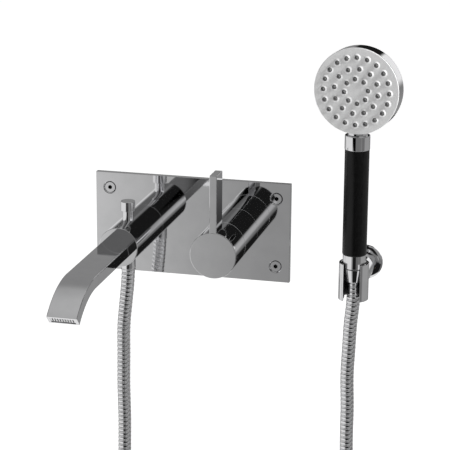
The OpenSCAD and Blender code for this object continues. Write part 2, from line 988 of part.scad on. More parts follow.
module bracket_arm()
    color("gainsboro")
        difference() {
            rod_y(arm_d, shower_y, -3.05, shower_x, bracket_z);
            rod_z(holder_d + 0.04, holder_low - over, holder_high + over, shower_x, shower_y);
            rod_y(14 + fit, -14.2, -2, shower_x, bracket_z);
            rod_y(6 + fit, shower_y, -36, shower_x, bracket_z);
            rod_z(5 + fit, bracket_z - arm_d, bracket_z - 6, shower_x, -8);
        }

module bracket_grub_screw()
    color("silver")
        difference() {
            rod_z(5, bracket_z - arm_d / 2 + 0.5, bracket_z - 7.05, shower_x, -8);
            translate([shower_x, -8, bracket_z - arm_d / 2])
                cylinder(h = 3, d = 2.9, $fn = 6);
        }

// The slot that lets the hose in and out, seen from the holder's axis.
module holder_slot(past = 0)
    block([-slot_w / 2 - past, -holder_d, holder_low - over],
        [slot_w / 2 + past, 0, holder_high + over]);

module shower_holder() {
    c = 0.6;
    color("gainsboro")
        at_shower()
            difference() {
                union() {
                    rod_z(holder_d, holder_low + c, holder_high - c);
                    rod_z(holder_d - 2 * c, holder_low, holder_low + c, d2 = holder_d);
                    rod_z(holder_d, holder_high - c, holder_high, d2 = holder_d - 2 * c);
                }
                rod_z(holder_bore, holder_low - over, holder_high + over);
                holder_slot();
                rod_y(6.2, 0, holder_d, z = bracket_z);
                rod_y(11, 0, 13.4, z = bracket_z);
            }
}

module holder_screw()
    color("silver")
        at_shower()
            difference() {
                union() {
                    rod_y(10, 12.6, 13.4, z = bracket_z);
                    rod_y(6, 13.3, 32, z = bracket_z);
                }
                translate([0, 14.5, bracket_z])
                    rotate([90, 0, 0])
                        cylinder(h = 4, d = 3.5, $fn = 6);
            }

module holder_liner() {
    gap = 0.35; // play between the nut and its seat, on the radius
    seat_top = nut_top - 0.3;
    color("dimgray")
        at_shower()
            difference() {
                rod_z(holder_bore - fit, holder_low + 2, seat_top);
                rod_z(18 + 2 * gap, nut_low, seat_top + 0.3, d2 = 22.8 + 2 * gap);
                rod_z(18 + 2 * gap, holder_low - over, nut_low + 0.01);
                holder_slot();
            }
}

wall_plate();
plate_gasket();
plate_screws();
mounting_frame();
valve_body();
body_screws();
channel_plug();
check_valves();
control_sleeve();
sleeve_oring();
cartridge_seals();
cartridge_base();
ceramic_disc_fixed();
cartridge_shell();
cartridge_nut();
ceramic_disc_moving();
cartridge_spindle();
handle_hub();
handle_cap();
hub_screw();
lever();
lever_screw();
handle_grub_screw();
spout_body();
flat_spout();
spout_insert();
diverter_housing();
union_nut();
union_washer();
diverter_cage();
diverter_gland();
diverter_neck();
diverter_spindle();
diverter_valve();
diverter_spring();
diverter_knob();
outlet_nipple();
hose_ferrule_inlet();
shower_hose();
hose_ferrule_outlet();
hose_cone_nut();
hose_washer();
grip_neck();
grip();
water_tube();
head_collar();
head_shell();
head_seal();
spray_face();
nozzle_mat();
mat_clamp();
bracket_flange();
bracket_wall_screw();
bracket_wall_plug();
bracket_rose();
bracket_arm();
bracket_grub_screw();
shower_holder();
holder_screw();
holder_liner();
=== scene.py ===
"""The looks of the wall mounted bath faucet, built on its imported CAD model.

Lengths are in metres in the CAD's own frame: the origin is the centre of the cover
plate's back face, +X runs right along the wall, +Y into the wall and +Z up. Where a
piece stands comes from the CAD's boxes; its finer shape is made here.
"""
import json
import math

import bmesh
import bpy
from mathutils import Matrix, Quaternion, Vector


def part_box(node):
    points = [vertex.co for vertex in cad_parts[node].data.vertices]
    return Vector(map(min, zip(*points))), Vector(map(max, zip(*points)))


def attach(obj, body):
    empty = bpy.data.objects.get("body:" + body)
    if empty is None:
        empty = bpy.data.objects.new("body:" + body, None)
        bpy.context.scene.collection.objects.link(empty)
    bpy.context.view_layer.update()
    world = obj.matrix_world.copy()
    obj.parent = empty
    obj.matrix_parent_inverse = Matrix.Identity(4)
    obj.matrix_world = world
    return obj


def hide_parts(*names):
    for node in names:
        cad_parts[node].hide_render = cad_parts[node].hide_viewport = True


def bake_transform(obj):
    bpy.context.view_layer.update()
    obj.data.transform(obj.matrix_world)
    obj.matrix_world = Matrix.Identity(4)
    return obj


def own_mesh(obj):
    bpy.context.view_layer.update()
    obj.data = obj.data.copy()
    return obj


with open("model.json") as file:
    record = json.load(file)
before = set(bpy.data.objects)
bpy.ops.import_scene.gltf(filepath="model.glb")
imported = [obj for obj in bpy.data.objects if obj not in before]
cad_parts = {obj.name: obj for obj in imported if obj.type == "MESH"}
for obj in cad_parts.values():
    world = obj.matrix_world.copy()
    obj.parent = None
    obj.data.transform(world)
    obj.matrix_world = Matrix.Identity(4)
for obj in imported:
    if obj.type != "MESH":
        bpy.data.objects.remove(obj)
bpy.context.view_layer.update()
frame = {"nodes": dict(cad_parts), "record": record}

MM = 0.001
X = Vector((1, 0, 0))
Y = Vector((0, 1, 0))
Z = Vector((0, 0, 1))

# Bodies of the CAD model.
WALL = "wall_set"
HANDLE = "handle"
DIVERTER = "diverter"
HOSE_END = "hose_end"
SHOWER = "hand_shower"


# ---- Camera ----

CAMERA_AZIMUTH = math.radians(14.0)
CAMERA_ELEVATION = math.radians(16.0)
CAMERA_ROLL = math.radians(0.4)
CAMERA_TARGET = Vector((0.0341, 0.0, 0.0029))
CAMERA_DISTANCE = 1.886
FOCAL_LENGTH = 144
SENSOR_WIDTH = 36


def make_camera():
    """Camera at the photograph's viewing angle."""
    back = Vector((math.sin(CAMERA_AZIMUTH) * math.cos(CAMERA_ELEVATION),
                   -math.cos(CAMERA_AZIMUTH) * math.cos(CAMERA_ELEVATION),
                   math.sin(CAMERA_ELEVATION)))
    data = bpy.data.cameras.new("camera")
    data.lens = FOCAL_LENGTH
    data.sensor_width = SENSOR_WIDTH
    camera = bpy.data.objects.new("camera", data)
    bpy.context.scene.collection.objects.link(camera)
    camera.location = CAMERA_TARGET + back * CAMERA_DISTANCE
    camera.rotation_mode = "QUATERNION"
    camera.rotation_quaternion = (-back).to_track_quat("-Z", "Y") @ Quaternion(Z, CAMERA_ROLL)
    bpy.context.scene.camera = camera


make_camera()


# ---- Mesh tools ----

def as_object(name, bm):
    """Makes an object of a bmesh, which is used up."""
    mesh = bpy.data.meshes.new(name)
    bm.to_mesh(mesh)
    bm.free()
    piece = bpy.data.objects.new(name, mesh)
    bpy.context.scene.collection.objects.link(piece)
    return piece


def loose(name, bm):
    """A solid's object before it is dressed, or one that only cuts another."""
    bmesh.ops.recalc_face_normals(bm, faces=bm.faces)
    return as_object(name, bm)


def dress(piece, body, material, replaces=(), sharp=32):
    """Shades a piece smooth up to the sharp angle in degrees, and ties it to its CAD
    body and the nodes it stands for."""
    piece.data.shade_smooth()
    piece.data.set_sharp_from_angle(angle=math.radians(sharp))
    piece.data.materials.clear()
    piece.data.materials.append(material)
    if body:
        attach(piece, body)
    if replaces:
        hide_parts(*replaces)
    return piece


def finish_mesh(name, bm, body, material, replaces=(), sharp=32):
    """Makes a dressed piece of a bmesh."""
    bmesh.ops.remove_doubles(bm, verts=bm.verts, dist=1e-7)
    return dress(loose(name, bm), body, material, replaces, sharp)


def applied(piece):
    """Applies the piece's modifiers to its mesh."""
    bpy.context.view_layer.update()
    graph = bpy.context.evaluated_depsgraph_get()
    mesh = bpy.data.meshes.new_from_object(piece.evaluated_get(graph))
    piece.modifiers.clear()
    piece.data = mesh
    return piece


def cut(piece, *cutters):
    """Cuts the cutters' shapes out of a piece and removes them."""
    for cutter in cutters:
        step = piece.modifiers.new("cut", "BOOLEAN")
        step.operation = "DIFFERENCE"
        step.solver = "EXACT"
        step.object = cutter
    applied(piece)
    for cutter in cutters:
        bpy.data.objects.remove(cutter)
    return piece


def softened(piece, width, steps):
    """Rounds the piece's sharp edges."""
    bevel = piece.modifiers.new("soft", "BEVEL")
    bevel.width = width
    bevel.segments = steps
    bevel.limit_method = "ANGLE"
    bevel.angle_limit = math.radians(40)
    bevel.harden_normals = False
    return applied(piece)


def merged(parts):
    """One bmesh of several, which are used up."""
    whole = bmesh.new()
    for part in parts:
        mesh = bpy.data.meshes.new("part")
        part.to_mesh(mesh)
        part.free()
        whole.from_mesh(mesh)
        bpy.data.meshes.remove(mesh)
    return whole


def skin(bm, rows):
    """Joins rings of vertices, one after the other, and closes both ends."""
    for low, high in zip(rows, rows[1:]):
        for k in range(len(low)):
            n = (k + 1) % len(low)
            bm.faces.new([low[k], low[n], high[n], high[k]])
    bm.faces.new(rows[0][::-1])
    bm.faces.new(rows[-1])


def filleted(outline, steps=5):
    """Rounds an open outline of (u, v) or (u, v, radius) points.

    Each rounded corner gets a close point on both sides, which keeps the faces next
    to it flat when they are shaded smooth."""
    hold = 0.03 * MM
    points = []
    for i, corner in enumerate(outline):
        here = Vector(corner[:2])
        radius = corner[2] if len(corner) > 2 else 0
        if not radius or i in (0, len(outline) - 1):
            points.append(here)
            continue
        a = (Vector(outline[i - 1][:2]) - here).normalized()
        b = (Vector(outline[i + 1][:2]) - here).normalized()
        half = a.angle(b) / 2
        reach = radius / math.tan(half)
        middle = here + (a + b).normalized() * (radius / math.sin(half))
        start, end = here + a * reach - middle, here + b * reach - middle
        turn = start.angle_signed(end)
        points.append(here + a * (reach + hold))
        for k in range(steps + 1):
            spin = Matrix.Rotation(-turn * k / steps, 2)
            points.append(middle + spin @ start)
        points.append(here + b * (reach + hold))
    return points


def placed(origin, axis, side=None):
    """Matrix that puts local Z along axis and local X near side, at origin."""
    z = Vector(axis).normalized()
    x = Vector(side) if side else (Z if abs(z.dot(Z)) < 0.9 else X)
    x = (x - z * x.dot(z)).normalized()
    y = z.cross(x)
    turn = Matrix((x, y, z)).transposed().to_4x4()
    return Matrix.Translation(origin) @ turn


def lathe_mesh(profile, place, segments=96, closed=False):
    """Turns a profile of (radius, height) points about the place's Z axis."""
    bm = bmesh.new()
    rings = []
    for radius, height in profile:
        if radius < 1e-6:
            rings.append([bm.verts.new(place @ Vector((0, 0, height)))])
            continue
        ring = []
        for k in range(segments):
            angle = 2 * math.pi * k / segments
            point = Vector((radius * math.cos(angle), radius * math.sin(angle), height))
            ring.append(bm.verts.new(place @ point))
        rings.append(ring)
    pairs = list(zip(rings, rings[1:]))
    if closed:
        pairs.append((rings[-1], rings[0]))
    for low, high in pairs:
        for k in range(segments):
            n = (k + 1) % segments
            corners = [low[k % len(low)], low[n % len(low)],
                       high[n % len(high)], high[k % len(high)]]
            unique = list(dict.fromkeys(corners))
            if len(unique) > 2:
                bm.faces.new(unique)
    return bm


def lathe(name, outline, place, body, material, replaces=(), segments=96):
    """A dressed piece turned from an outline with rounded corners."""
    bm = lathe_mesh(filleted(outline), place, segments)
    return finish_mesh(name, bm, body, material, replaces)


def blank(name, outline, place, segments):
    """A turned piece that is still to be cut and dressed."""
    bm = lathe_mesh(filleted(outline), place, segments)
    bmesh.ops.remove_doubles(bm, verts=bm.verts, dist=1e-7)
    return loose(name, bm)


def rod(radius, start, end, place, segments):
    """A plain round bar along the place's Z axis."""
    return lathe_mesh([(0, start), (radius, start), (radius, end), (0, end)], place, segments)


def box_mesh(low, high, bevel=0, steps=3):
    """A block between two corners, with rounded edges."""
    bm = bmesh.new()
    bmesh.ops.create_cube(bm, size=1)
    for vert in bm.verts:
        vert.co = Vector((low[i] + (vert.co[i] + 0.5) * (high[i] - low[i]) for i in range(3)))
    if bevel:
        bmesh.ops.bevel(bm, geom=bm.edges[:], offset=bevel, segments=steps, profile=0.5,
                        affect="EDGES")
    return bm


def prism_mesh(outline, low, high, place):
    """A solid with the same flat outline from low to high."""
    bm = bmesh.new()
    skin(bm, [[bm.verts.new(place @ Vector((u, v, z))) for u, v in outline]
              for z in (low, high)])
    return bm


def ngon(radius, sides):
    """Corners of a regular polygon."""
    return [(radius * math.cos(2 * math.pi * k / sides),
             radius * math.sin(2 * math.pi * k / sides)) for k in range(sides)]


def axis_of(node):
    """Centre of a CAD node's box, moved onto the wall plane."""
    low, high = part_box(node)
    return Vector(((low.x + high.x) / 2, 0, (low.z + high.z) / 2))


def upright(node):
    """A CAD node's upright axis on the plane z = 0, with its lowest and highest z."""
    low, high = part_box(node)
    return Vector(((low.x + high.x) / 2, (low.y + high.y) / 2, 0)), low.z, high.z


# ---- Materials ----

def new_material(name):
    """A material with its node tree and its Principled shader."""
    material = bpy.data.materials.new(name)
    material.use_nodes = True
    tree = material.node_tree
    shader = next(n for n in tree.nodes if n.type == "BSDF_PRINCIPLED")
    return material, tree, shader


def noise(tree, scale, detail=3.0, stretch=(1, 1, 1)):
    """Noise over the object's own coordinates."""
    where = tree.nodes.new("ShaderNodeTexCoord")
    mapping = tree.nodes.new("ShaderNodeMapping")
    mapping.inputs["Scale"].default_value = stretch
    texture = tree.nodes.new("ShaderNodeTexNoise")
    texture.inputs["Scale"].default_value = scale
    texture.inputs["Detail"].default_value = detail
    tree.links.new(where.outputs["Object"], mapping.inputs["Vector"])
    tree.links.new(mapping.outputs["Vector"], texture.inputs["Vector"])
    return texture.outputs["Fac"]


def spread(tree, value, low, high):
    """Maps the usual range of a noise to a range from low to high."""
    node = tree.nodes.new("ShaderNodeMapRange")
    node.inputs["From Min"].default_value = 0.3
    node.inputs["From Max"].default_value = 0.7
    node.inputs["To Min"].default_value = low
    node.inputs["To Max"].default_value = high
    tree.links.new(value, node.inputs["Value"])
    return node.outputs["Result"]


def tint(tree, value, dark, light):
    """Colour ramp between two colours."""
    ramp = tree.nodes.new("ShaderNodeValToRGB")
    for stop, position, colour in zip(ramp.color_ramp.elements, (0.35, 0.65), (dark, light)):
        stop.position = position
        stop.color = (*colour, 1)
    tree.links.new(value, ramp.inputs["Fac"])
    return ramp.outputs["Color"]


def bump(tree, shader, value, distance):
    """Grain of the given depth."""
    node = tree.nodes.new("ShaderNodeBump")
    node.inputs["Strength"].default_value = 1.0
    node.inputs["Distance"].default_value = distance
    tree.links.new(value, node.inputs["Height"])
    tree.links.new(node.outputs["Normal"], shader.inputs["Normal"])


def surface(name, dark, light, metallic, rough, scale, grain=0, gloss=0.5, stretch=(1, 1, 1)):
    """Material whose colour and roughness vary, with a grain of the given depth."""
    material, tree, shader = new_material(name)
    shader.inputs["Metallic"].default_value = metallic
    shader.inputs["Specular IOR Level"].default_value = gloss
    value = noise(tree, scale, 4, stretch)
    tree.links.new(tint(tree, value, dark, light), shader.inputs["Base Color"])
    broad = noise(tree, scale * 0.37, 2, stretch)
    tree.links.new(spread(tree, broad, *rough), shader.inputs["Roughness"])
    if grain:
        bump(tree, shader, noise(tree, scale * 3, 3, stretch), grain)
    return material


def grey(value):
    return (value, value, value)


CHROME = surface("polished_chrome", (0.86, 0.86, 0.87), (0.9, 0.9, 0.91), 1, (0.025, 0.05), 60)
HOSE_METAL = surface("hose_chrome", (0.86, 0.86, 0.87), (0.93, 0.93, 0.94), 1, (0.05, 0.1), 400)
STEEL = surface("stainless_steel", grey(0.5), grey(0.68), 1, (0.22, 0.36), 500, 0.02 * MM)
BRASS = surface("machined_brass", (0.55, 0.41, 0.17), (0.8, 0.62, 0.3), 1, (0.2, 0.38), 180,
                0.03 * MM)
ZINC = surface("zinc_plated_steel", (0.34, 0.36, 0.38), (0.5, 0.51, 0.54), 1, (0.3, 0.5), 90,
               0.03 * MM)
RUBBER = surface("black_rubber", grey(0.015), grey(0.035), 0, (0.55, 0.75), 300, 0.03 * MM)
CERAMIC = surface("ground_ceramic", (0.74, 0.72, 0.66), (0.86, 0.84, 0.79), 0, (0.12, 0.2), 120,
                  0.01 * MM)
PALE_PLASTIC = surface("pale_plastic", (0.6, 0.6, 0.58), (0.72, 0.72, 0.7), 0, (0.38, 0.5), 150,
                       0.02 * MM)
DARK_PLASTIC = surface("dark_plastic", (0.012, 0.012, 0.013), (0.03, 0.03, 0.032), 0,
                       (0.3, 0.42), 220, 0.02 * MM)
CAST = surface("die_cast_metal", (0.42, 0.42, 0.43), (0.56, 0.56, 0.57), 1, (0.35, 0.5), 260,
               0.04 * MM)
# Near-black metal for the faces inside the chrome screws' sockets: painted shade in the recess.
SOCKET_PAINTED_SHADE = surface("socket_painted_shade_metal", grey(0.02), grey(0.05), 1, (0.3, 0.45), 600)
GRIP = surface("black_grip", grey(0.0015), grey(0.003), 0, (0.2, 0.28), 500, 0.004 * MM, 0.28,
               (1, 1, 0.4))
SATIN = surface("satin_face", grey(0.74), grey(0.82), 0.3, (0.34, 0.42), 900, 0.01 * MM)
# Nozzle silicone: partly its own grey, and partly darkened as painted shade for the nozzles' shaded
# flanks and the shadow round them.
NUB_WITH_PAINTED_SHADE = surface("silicone_darkened_as_painted_shade", grey(0.09), grey(0.14), 0, (0.22, 0.32), 400, 0.02 * MM)

# The material of each of the record's slots.
CAD_MATERIALS = {
    "chrome": CHROME, "brass": BRASS, "hose_steel": HOSE_METAL, "screw_steel": STEEL,
    "seal_rubber": RUBBER, "ceramic": CERAMIC, "inner_plastic": PALE_PLASTIC,
    "dark_plastic": DARK_PLASTIC, "hub_metal": CAST, "frame_steel": ZINC,
    "grip_black": GRIP, "face_satin": SATIN, "nozzle_silicone": NUB_WITH_PAINTED_SHADE,
}


def dress_cad():
    """Gives every CAD node the material of its slot."""
    for entry in frame["record"]["subparts"]:
        node = frame["nodes"][entry["node"]]
        node.data.materials.clear()
        node.data.materials.append(CAD_MATERIALS[entry["material_slot"]])


dress_cad()


# ---- Hose ----

# The hose's middle line from the outlet under the spout to the nut in the holder.
HOSE_ROUTE = [
    (-0.052, -0.065, -0.033), (-0.053, -0.065, -0.050), (-0.055, -0.065, -0.070),
    (-0.057, -0.066, -0.095), (-0.057, -0.067, -0.125), (-0.057, -0.068, -0.160),
    (-0.056, -0.069, -0.195), (-0.056, -0.070, -0.230), (-0.056, -0.070, -0.265),
    (-0.057, -0.070, -0.300), (-0.058, -0.070, -0.335), (-0.058, -0.070, -0.370),
    (-0.058, -0.070, -0.405), (-0.057, -0.070, -0.440), (-0.053, -0.070, -0.474),
    (-0.041, -0.070, -0.505), (-0.021, -0.070, -0.533), (0.004, -0.070, -0.553),
    (0.034, -0.070, -0.566), (0.066, -0.070, -0.571), (0.097, -0.070, -0.566),
    (0.127, -0.070, -0.553), (0.152, -0.070, -0.533), (0.172, -0.070, -0.505),
    (0.184, -0.070, -0.474), (0.188, -0.070, -0.440), (0.188, -0.070, -0.405),
    (0.187, -0.070, -0.370), (0.186, -0.070, -0.335), (0.184, -0.070, -0.300),
    (0.183, -0.070, -0.265), (0.182, -0.070, -0.230), (0.181, -0.070, -0.195),
    (0.181, -0.070, -0.160), (0.180, -0.070, -0.125), (0.181, -0.070, -0.095),
    (0.182, -0.070, -0.070), (0.184, -0.070, -0.046), (0.184, -0.070, -0.0237),
]
HOSE_D = 0.0138
HOSE_PITCH = 4.6 * MM
HOSE_STEPS = 18
HOSE_SIDES = 20
# Ribs of the wound strip: start and end within one pitch, and share of the full height.
HOSE_RIBS = ((0.0, 0.64, 1.0), (0.72, 0.94, 0.8))
GROOVE_DEPTH = 0.55 * MM


def smooth_path(route, gap):
    """Points a fixed gap apart on a smooth curve through the route."""
    route = [Vector(p) for p in route]
    before, after = route[0] + Z * 0.01, route[-1] + Z * 0.01
    knots = [before] + route + [after]
    parts = 24
    fine = []
    for a, b, c, d in zip(knots, knots[1:], knots[2:], knots[3:]):
        for k in range(parts):
            t = k / parts
            fine.append(0.5 * (2 * b + (c - a) * t + (2 * a - 5 * b + 4 * c - d) * t * t
                               + (3 * b - a - 3 * c + d) * t ** 3))
    fine.append(route[-1])
    lengths = [0]
    for a, b in zip(fine, fine[1:]):
        lengths.append(lengths[-1] + (b - a).length)
    count = round(lengths[-1] / gap)
    points, i = [], 0
    for k in range(count + 1):
        goal = lengths[-1] * k / count
        while i < len(fine) - 2 and lengths[i + 1] < goal:
            i += 1
        part = (goal - lengths[i]) / (lengths[i + 1] - lengths[i])
        points.append(fine[i].lerp(fine[i + 1], part))
    return points


def coil_relief(turn):
    """How far the wound strip lies below the hose's full radius, at a place in its turn."""
    turn %= 1
    for low, high, share in HOSE_RIBS:
        if low <= turn <= high:
            across = (turn - low) / (high - low) * 2 - 1
            return -GROOVE_DEPTH + GROOVE_DEPTH * share * (1 - abs(across) ** 9)
    return -GROOVE_DEPTH


def make_hose():
    """Hose of wound metal strip, one free cord between the outlet and the nut."""
    path = smooth_path(HOSE_ROUTE, HOSE_PITCH / HOSE_STEPS)
    bm = bmesh.new()
    rings = []
    for i, point in enumerate(path):
        ahead = path[min(i + 1, len(path) - 1)] - path[max(i - 1, 0)]
        ahead.normalize()
        side = Y.cross(ahead).normalized()
        lift = ahead.cross(side)
        ring = []
        for k in range(HOSE_SIDES):
            angle = 2 * math.pi * k / HOSE_SIDES
            reach = HOSE_D / 2 + coil_relief(i / HOSE_STEPS - k / HOSE_SIDES)
            out = math.cos(angle) * side + math.sin(angle) * lift
            ring.append(bm.verts.new(point + reach * out))
        rings.append(ring)
    skin(bm, rings)
    hose = loose("metal_hose", bm)
    dress(hose, None, HOSE_METAL, ("shower_hose",), 75)
    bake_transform(hose)


make_hose()


# ---- Cover plate and its screws ----

SCREW_HEAD = 6 * MM
# Countersink of the plate and room for the shank, as radius and depth into the wall.
SCREW_SINK = [(0, -10), (7.2, -10), (7.2, -6.3), (6.9, -5.9), (6.8, -5), (3.3, -2), (3.3, 3),
              (0, 3)]


def screw_centres():
    """The four screws of the plate, as points on the wall."""
    low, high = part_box("plate_screws")
    return [Vector((x, 0, z)) for x in (low.x + SCREW_HEAD, high.x - SCREW_HEAD)
            for z in (low.z + SCREW_HEAD, high.z - SCREW_HEAD)]


def gasket_groove():
    """Cutter for the groove behind the plate that its gasket fills."""
    low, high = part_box("plate_gasket")
    play, width, past = 0.2 * MM, 4 * MM, 10 * MM
    ring = loose("ring", box_mesh(low - Vector((play, 0, play)), high + Vector((play, past, play))))
    core = loose("core", box_mesh(low + Vector((width, -past, width)),
                                  high + Vector((-width, 2 * past, -width))))
    return cut(ring, core)


def make_plate():
    """Cover plate with holes for both tubes and four countersinks."""
    low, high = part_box("wall_plate")
    plate = loose("cover_plate", box_mesh(low, high, 0.3 * MM))
    cutters = [loose("hole", rod(radius, -20 * MM, 20 * MM, placed(axis_of(node), Y), 96))
               for node, radius in (("control_sleeve", 21.8 * MM), ("spout_body", 15.5 * MM))]
    sink = [(r * MM, y * MM) for r, y in SCREW_SINK]
    cutters += [loose("sink", lathe_mesh(sink, placed(centre, Y), 64))
                for centre in screw_centres()]
    cut(plate, *cutters, gasket_groove())
    dress(plate, WALL, CHROME, ("wall_plate",), 12)


def make_plate_screws():
    """Countersunk screws with hexagon sockets, whose faces are near-black metal as painted shade in
    the recess, and cut threads.
    """
    front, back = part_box("plate_screws")[0].y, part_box("plate_screws")[1].y
    shank, socket_reach = 2.9 * MM, 2.45 * MM
    outline = [(0, front), (SCREW_HEAD, front, 0.3 * MM), (3 * MM, front + 3 * MM, 0.2 * MM),
               (shank, front + 6 * MM), (shank * 0.8, back), (0, back)]
    for i, centre in enumerate(screw_centres()):
        screw = loose(f"plate_screw_{i}", lathe_mesh(filleted(outline), placed(centre, Y), 64))
        cut(screw, loose("socket", prism_mesh(ngon(2.4 * MM, 6), -front - 2.6 * MM,
                                              -front + 1 * MM, placed(centre, -Y))))
        dress(screw, WALL, CHROME, ("plate_screws",) if i == 0 else (), 30)
        # The socket's inner faces get the near-black metal as painted shade.
        screw.data.materials.append(SOCKET_PAINTED_SHADE)
        for face in screw.data.polygons:
            off = Vector((face.center.x - centre.x, face.center.z - centre.z)).length
            if off < socket_reach and front + 0.1 * MM < face.center.y < front + 3 * MM:
                face.material_index = 1
        thread(f"plate_screw_thread_{i}", centre, front + 7 * MM, back - 0.5 * MM, 3 * MM, 1 * MM)


def thread(name, centre, start, end, radius, pitch):
    """A screw thread wound about the Y axis through the centre, which fades at its ends."""
    steps, root, half = 24, radius * 0.8, 0.42 * pitch
    count = int((end - start) / pitch * steps)
    bm = bmesh.new()
    rows = []
    for i in range(count + 1):
        angle = 2 * math.pi * i / steps
        y = start + pitch * i / steps
        fade = min(1, i / steps, (count - i) / steps)
        crest = root + (radius - root) * fade
        rows.append([bm.verts.new(centre + Vector((r * math.cos(angle), y + dy,
                                                   r * math.sin(angle))))
                     for r, dy in ((root, -half), (crest, 0), (root, half))])
    skin(bm, rows)
    finish_mesh(name, bm, WALL, STEEL, (), 60)


make_plate()
make_plate_screws()


# ---- Control ----

def make_control():
    """Fixed sleeve of the control, and the cap that turns in front of it."""
    axis = axis_of("control_sleeve")
    place = placed(axis, Y)
    low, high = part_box("control_sleeve")
    radius, bore = (high.x - low.x) / 2, 22 * MM
    outline = [(bore, high.y), (radius, high.y, 0.25 * MM), (radius, low.y, 0.25 * MM),
               (bore, low.y), (bore, high.y)]
    lathe("control_sleeve_skin", outline, place, WALL, CHROME, ("control_sleeve",), 160)
    front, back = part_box("handle_cap")[0].y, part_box("handle_cap")[1].y
    bore, web = radius - 3.75 * MM, front + 4 * MM
    outline = [(0, front), (radius, front, 0.55 * MM), (radius, back, 0.25 * MM),
               (bore, back, 0.2 * MM), (bore, web), (0, web)]
    cap = blank("turning_cap", outline, place, 160)
    grub_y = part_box("handle_grub_screw")[0].y + 2.5 * MM
    grub = axis + Vector((0, grub_y, -radius - 5 * MM))
    cut(cap, loose("grub_hole", rod(2.6 * MM, 0, 15 * MM, placed(grub, Z), 32)))
    dress(cap, HANDLE, CHROME, ("handle_cap",), 25)


def make_lever():
    """Flat lever, which starts inside the cap's wall."""
    low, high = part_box("lever")
    low.z = 22.5 * MM
    finish_mesh("flat_lever", box_mesh(low, high, 0.45 * MM, 4), HANDLE, CHROME,
                ("lever",), 10)


make_control()
make_lever()


# ---- Spout ----

SPOUT_HEIGHT = 12 * MM
SPOUT_STRAIGHT = 116 * MM
BEND_RADIUS = 80 * MM
BEND_ANGLE = math.radians(43.5)
BEND_STEPS = 40


def rounded_section(width, height, radius, steps=4):
    """Outline of a bar's section, anticlockwise from its lower right side.

    A close point beside each corner keeps the flat sides flat when they are shaded."""
    hold = 0.05 * MM
    points = []
    for cx, cy, start in ((1, -1, -90), (1, 1, 0), (-1, 1, 90), (-1, -1, 180)):
        x = cx * (width / 2 - radius)
        y = cy * (height / 2 - radius)
        for k in range(steps + 1):
            angle = math.radians(start + 90 * k / steps)
            points.append((x + radius * math.cos(angle), y + radius * math.sin(angle)))
    fine = []
    for k, (x, y) in enumerate(points):
        fine.append((x, y))
        n = points[(k + 1) % len(points)]
        gap = Vector((n[0] - x, n[1] - y))
        if gap.length > radius:
            side = gap.normalized() * hold
            fine += [(x + side.x, y + side.y), (n[0] - side.x, n[1] - side.y)]
    return fine


def spout_stations():
    """Middle points along the spout, each with the angle that it has turned down."""
    low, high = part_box("flat_spout")
    x, z = (low.x + high.x) / 2, high.z - SPOUT_HEIGHT / 2
    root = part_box("spout_body")[0].y
    bend = root - SPOUT_STRAIGHT
    stations = [(Vector((x, root + 2 * MM, z)), 0), (Vector((x, bend + 0.1 * MM, z)), 0)]
    centre = Vector((x, bend, z - BEND_RADIUS))
    for k in range(BEND_STEPS + 1):
        a = BEND_ANGLE * k / BEND_STEPS
        out = Vector((0, -math.sin(a), math.cos(a)))
        stations.append((centre + BEND_RADIUS * out, a))
    return stations


def make_spout():
    """Flat spout, swept from the round body's face through its bend to a rounded lip."""
    low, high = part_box("flat_spout")
    width = high.x - low.x
    section = rounded_section(width, SPOUT_HEIGHT, 0.95 * MM)
    mouth = [(u * 0.8067, v * 0.6833) for u, v in section]
    bm = bmesh.new()
    rows = []

    def add_row(outline, middle, up):
        rows.append([bm.verts.new(middle + u * X + v * up) for u, v in outline])

    stations = spout_stations()
    for middle, a in stations:
        add_row(section, middle, Vector((0, -math.sin(a), math.cos(a))))
    end, a = stations[-1]
    up, ahead = Vector((0, -math.sin(a), math.cos(a))), Vector((0, -math.cos(a), -math.sin(a)))
    for turn in (22.5, 45, 67.5, 90):
        sink = (1 - math.cos(math.radians(turn))) * 0.9 * MM
        lip = math.sin(math.radians(turn)) * 0.3 * MM
        narrow, thin = 1 - 2 * sink / width, 1 - 2 * sink / SPOUT_HEIGHT
        add_row([(u * narrow, v * thin) for u, v in section], end + ahead * lip, up)
    add_row(mouth, end + ahead * lip, up)
    add_row(mouth, end - ahead * 5 * MM, up)
    skin(bm, rows)
    finish_mesh("spout_bar", bm, WALL, CHROME, ("flat_spout",), 30)


def make_spout_body():
    """Round body of the spout, open where the diverter and the outlet pass."""
    low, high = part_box("spout_body")
    radius = (high.x - low.x) / 2
    inner, web = radius - 2 * MM, low.y + 5 * MM
    outline = [(0, low.y), (radius, low.y, 0.55 * MM), (radius, high.y, 0.25 * MM),
               (inner, high.y), (inner, web), (0, web)]
    tube = blank("spout_tube", outline, placed(axis_of("spout_body"), Y), 160)
    middle, _, _ = upright("diverter_neck")
    reach = 30 * MM
    cut(tube, loose("top", rod(5.5 * MM, 0, reach, placed(middle, Z), 48)),
        loose("bottom", rod(7.6 * MM, 0, reach, placed(middle, -Z), 48)))
    dress(tube, WALL, CHROME, ("spout_body",), 25)


def make_diverter():
    """Fixed neck of the diverter, and the knob that is pulled up."""
    axis, low, high = upright("diverter_neck")
    r, bore = 5.4 * MM, 3.1 * MM
    outline = [(bore, low), (r, low), (r, high, 0.3 * MM), (bore, high), (bore, low)]
    lathe("diverter_neck_skin", outline, placed(axis, Z), WALL, CHROME,
          ("diverter_neck",), 64)
    axis, low, high = upright("diverter_knob")
    r = 7.4 * MM
    outline = [(0, low + 0.2 * MM), (2.9 * MM, low), (r, low, 0.3 * MM),
               (r, high - 0.1 * MM, 0.6 * MM), (r - 1.4 * MM, high, 0.4 * MM), (0, high)]
    lathe("diverter_cap", outline, placed(axis, Z), DIVERTER, CHROME,
          ("diverter_knob",), 96)


